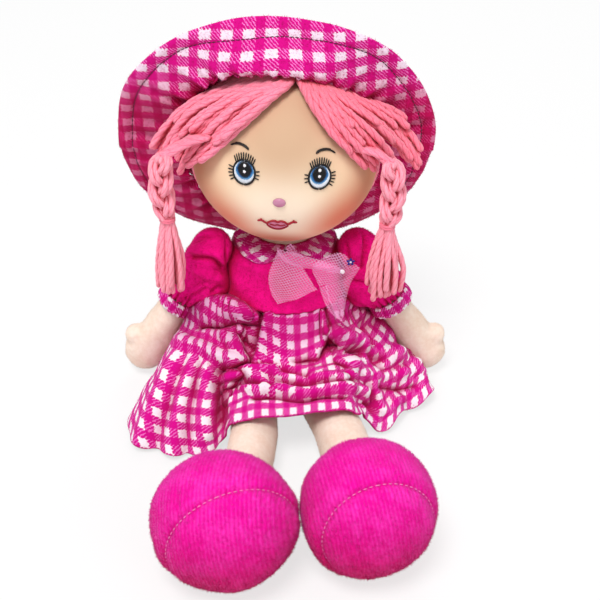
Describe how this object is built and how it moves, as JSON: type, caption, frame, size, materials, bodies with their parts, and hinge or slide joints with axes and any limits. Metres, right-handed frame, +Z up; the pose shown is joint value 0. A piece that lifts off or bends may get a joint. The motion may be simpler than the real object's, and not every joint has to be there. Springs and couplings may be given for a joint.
{
  "type": "plush doll",
  "caption": "Sitting cloth rag doll with yarn braids, a wide gingham sun hat, a gingham dress and round plush boots; head, arms, legs, waist and braids move.",
  "frame": {"origin": "centre of the flat face that the doll sits on, on the floor", "axes": "+Z up; the doll faces -Y, with its own left hand at +X"},
  "size_m": [0.2346, 0.2997, 0.2659],
  "materials": {
    "skin_plush": "short-pile cream plush, brushed knit",
    "limb_plush": "short-pile pale cream plush",
    "velour": "hot pink velour, short dense pile",
    "gingham_wide": "brushed cotton flannel with a pink and white check of about 15 mm",
    "gingham_fine": "brushed cotton flannel with a pink and white check of about 9 mm",
    "boot_plush": "bright pink crystal plush with a visible pile",
    "yarn": "pink plied acrylic yarn, about 4.5 mm thick",
    "hair_band": "pink elastic thread wound round the braid",
    "net": "stiff pale pink tulle net, half see-through",
    "flower_sequin": "small blue glazed flower sequin",
    "eye_thread": "satin-stitch embroidery in black, blue, grey and white",
    "brow_thread": "dark brown stitched line",
    "nose_satin": "mauve satin stitch with a soft gloss",
    "lip_thread": "dark rose satin stitch"
  },
  "bodies": {
    "lap": {"skirt_front": "gingham_fine", "skirt_back": "gingham_fine"},
    "torso": {"torso_body": "skin_plush", "dress_bodice": "velour", "collar_left": "gingham_fine", "collar_right": "gingham_fine", "bow_wing_left": "net", "bow_wing_right": "net", "bow_tail": "net", "bow_knot": "net", "bow_flower": "flower_sequin"},
    "neck": {"neck": "skin_plush"},
    "head": {"head": "skin_plush", "eye_left": "eye_thread", "eye_right": "eye_thread", "brow_left": "brow_thread", "brow_right": "brow_thread", "nose": "nose_satin", "mouth": "lip_thread", "hair_cap": "yarn", "fringe_left": "yarn", "fringe_right": "yarn", "hat_brim": "gingham_wide", "hat_crown": "gingham_wide"},
    "braid_left": {"braid_left": "yarn", "hair_tie_left": "hair_band", "tassel_left": "yarn"},
    "arm_left": {"arm_left": "limb_plush", "sleeve_left": "velour", "cuff_left": "gingham_fine"},
    "leg_left": {"leg_left": "limb_plush", "boot_rim_left": "boot_plush", "boot_upper_left": "boot_plush", "boot_sole_left": "boot_plush"},
    "braid_right": {"braid_right": "yarn", "hair_tie_right": "hair_band", "tassel_right": "yarn"},
    "arm_right": {"arm_right": "limb_plush", "sleeve_right": "velour", "cuff_right": "gingham_fine"},
    "leg_right": {"leg_right": "limb_plush", "boot_rim_right": "boot_plush", "boot_upper_right": "boot_plush", "boot_sole_right": "boot_plush"}
  },
  "joints": [
    {"name": "hip_fold", "type": "hinge", "parent": "lap", "child": "torso", "pos_m": [0, -0.022, 0.017], "axis": [1, 0, 0], "range_deg": [0, 15], "deforming": ["skirt_front", "skirt_back"]},
    {"name": "head_turn", "type": "hinge", "parent": "torso", "child": "neck", "pos_m": [0, 0.0163, 0.1233], "axis": [0, 0, 1], "range_deg": [-8, 8]},
    {"name": "head_nod", "type": "hinge", "parent": "neck", "child": "head", "pos_m": [0, 0.0163, 0.1233], "axis": [1, 0, 0], "range_deg": [-10, 5]},
    {"name": "braid_left_swing", "type": "hinge", "parent": "head", "child": "braid_left", "pos_m": [-0.07017, -0.03236, 0.19747], "axis": [1, 0, 0], "range_deg": [-60, 0]},
    {"name": "arm_left_raise", "type": "hinge", "parent": "torso", "child": "arm_left", "pos_m": [-0.0515, 0.005, 0.102], "axis": [0, 1, 0], "range_deg": [0, 80]},
    {"name": "leg_left_splay", "type": "hinge", "parent": "lap", "child": "leg_left", "pos_m": [-0.021, -0.022, 0.017], "axis": [0, 0, -1], "range_deg": [0, 25]},
    {"name": "braid_right_swing", "type": "hinge", "parent": "head", "child": "braid_right", "pos_m": [0.07164, -0.03353, 0.19013], "axis": [1, 0, 0], "range_deg": [-60, 0]},
    {"name": "arm_right_raise", "type": "hinge", "parent": "torso", "child": "arm_right", "pos_m": [0.0515, 0.005, 0.102], "axis": [0, -1, 0], "range_deg": [0, 80]},
    {"name": "leg_right_splay", "type": "hinge", "parent": "lap", "child": "leg_right", "pos_m": [0.021, -0.022, 0.017], "axis": [0, 0, 1], "range_deg": [0, 25]}
  ]
}
